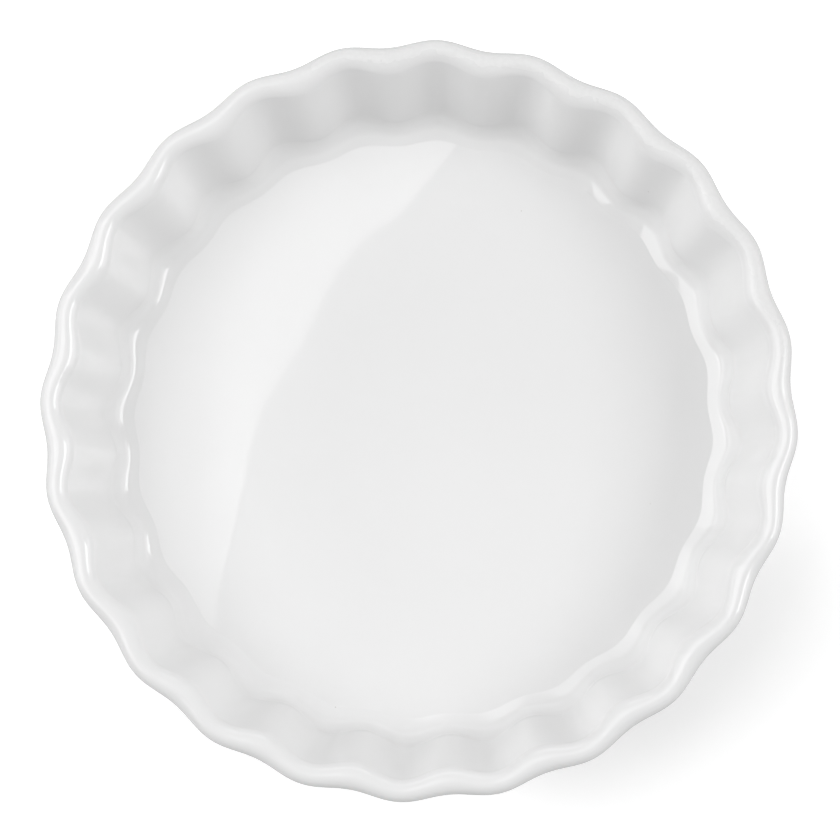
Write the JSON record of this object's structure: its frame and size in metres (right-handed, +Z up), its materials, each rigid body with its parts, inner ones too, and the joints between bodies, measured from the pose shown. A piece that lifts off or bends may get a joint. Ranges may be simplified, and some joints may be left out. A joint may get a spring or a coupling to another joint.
{
  "type": "ramekin",
  "caption": "Shallow round ramekin with a fluted, outward-leaning wall and a rounded rim, white glazed all over but for the bare sole of its foot ring.",
  "frame": {"origin": "on the surface that the dish stands on, at the middle of its foot ring", "axes": "+Z up along the axis of the dish, towards its open top; a flute crest lies on +X and another on +Y"},
  "size_m": [0.125, 0.125, 0.03],
  "materials": {
    "bare_stoneware": "fired and unglazed, off-white and finely gritty",
    "white_glaze": "glossy white glaze, slightly uneven, with a few pinholes"
  },
  "bodies": {
    "root": {"stoneware_body": "bare_stoneware", "glaze_coat": "white_glaze", "foot_recess_glaze": "white_glaze"}
  },
  "joints": []
}
